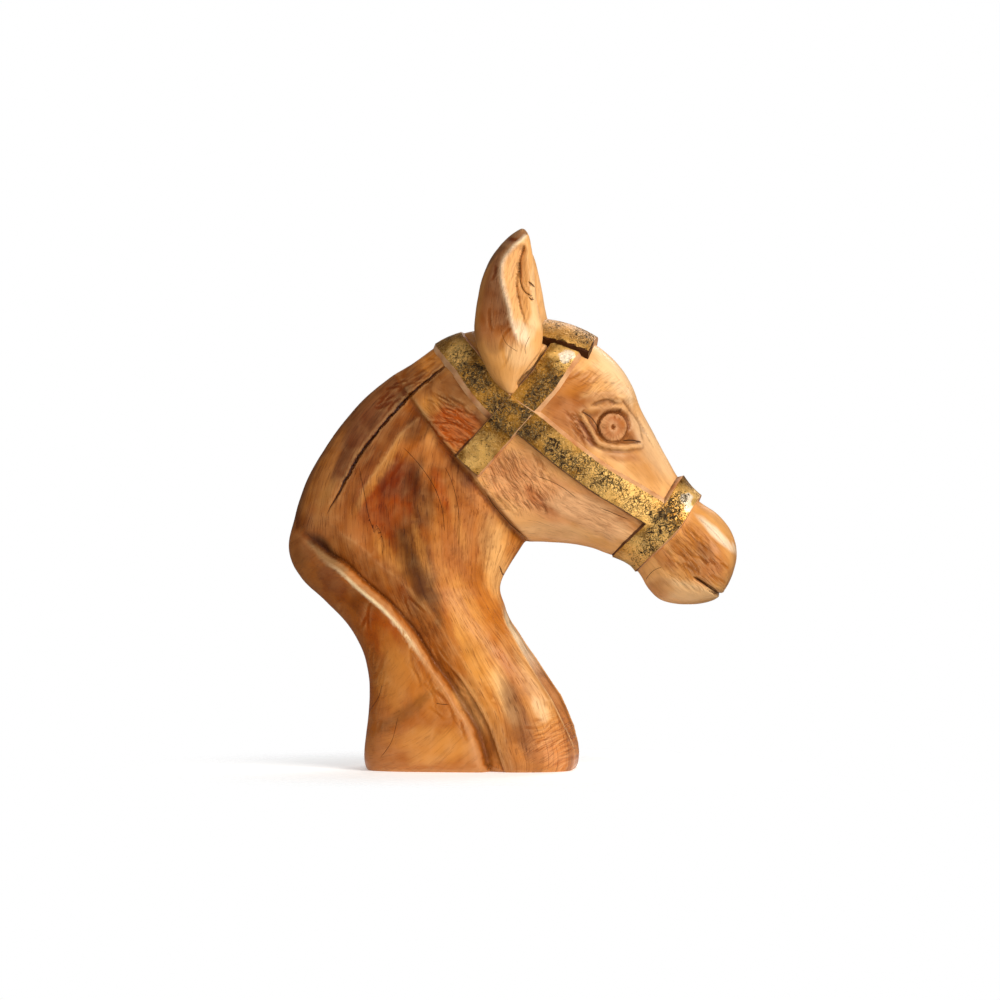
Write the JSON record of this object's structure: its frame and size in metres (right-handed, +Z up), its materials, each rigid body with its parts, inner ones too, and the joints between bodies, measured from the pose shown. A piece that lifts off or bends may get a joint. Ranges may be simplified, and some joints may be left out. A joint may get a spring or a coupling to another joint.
{
  "type": "horse head sculpture",
  "caption": "Carved wooden horse head and neck standing on its own flared foot, with pricked ears and a gilded bridle in relief.",
  "frame": {"origin": "centre of the flat underside of the foot, on the surface that the sculpture stands on", "axes": "+X where the horse looks, +Y the horse's left side, +Z up"},
  "size_m": [0.305, 0.1, 0.366],
  "materials": {
    "lacquered_wood": "carved hardwood, honey brown to burnt orange, satin lacquer",
    "gold_leaf": "antique gold leaf over a dark ground, worn and speckled"
  },
  "bodies": {
    "root": {"horse_head": "lacquered_wood"}
  },
  "joints": []
}
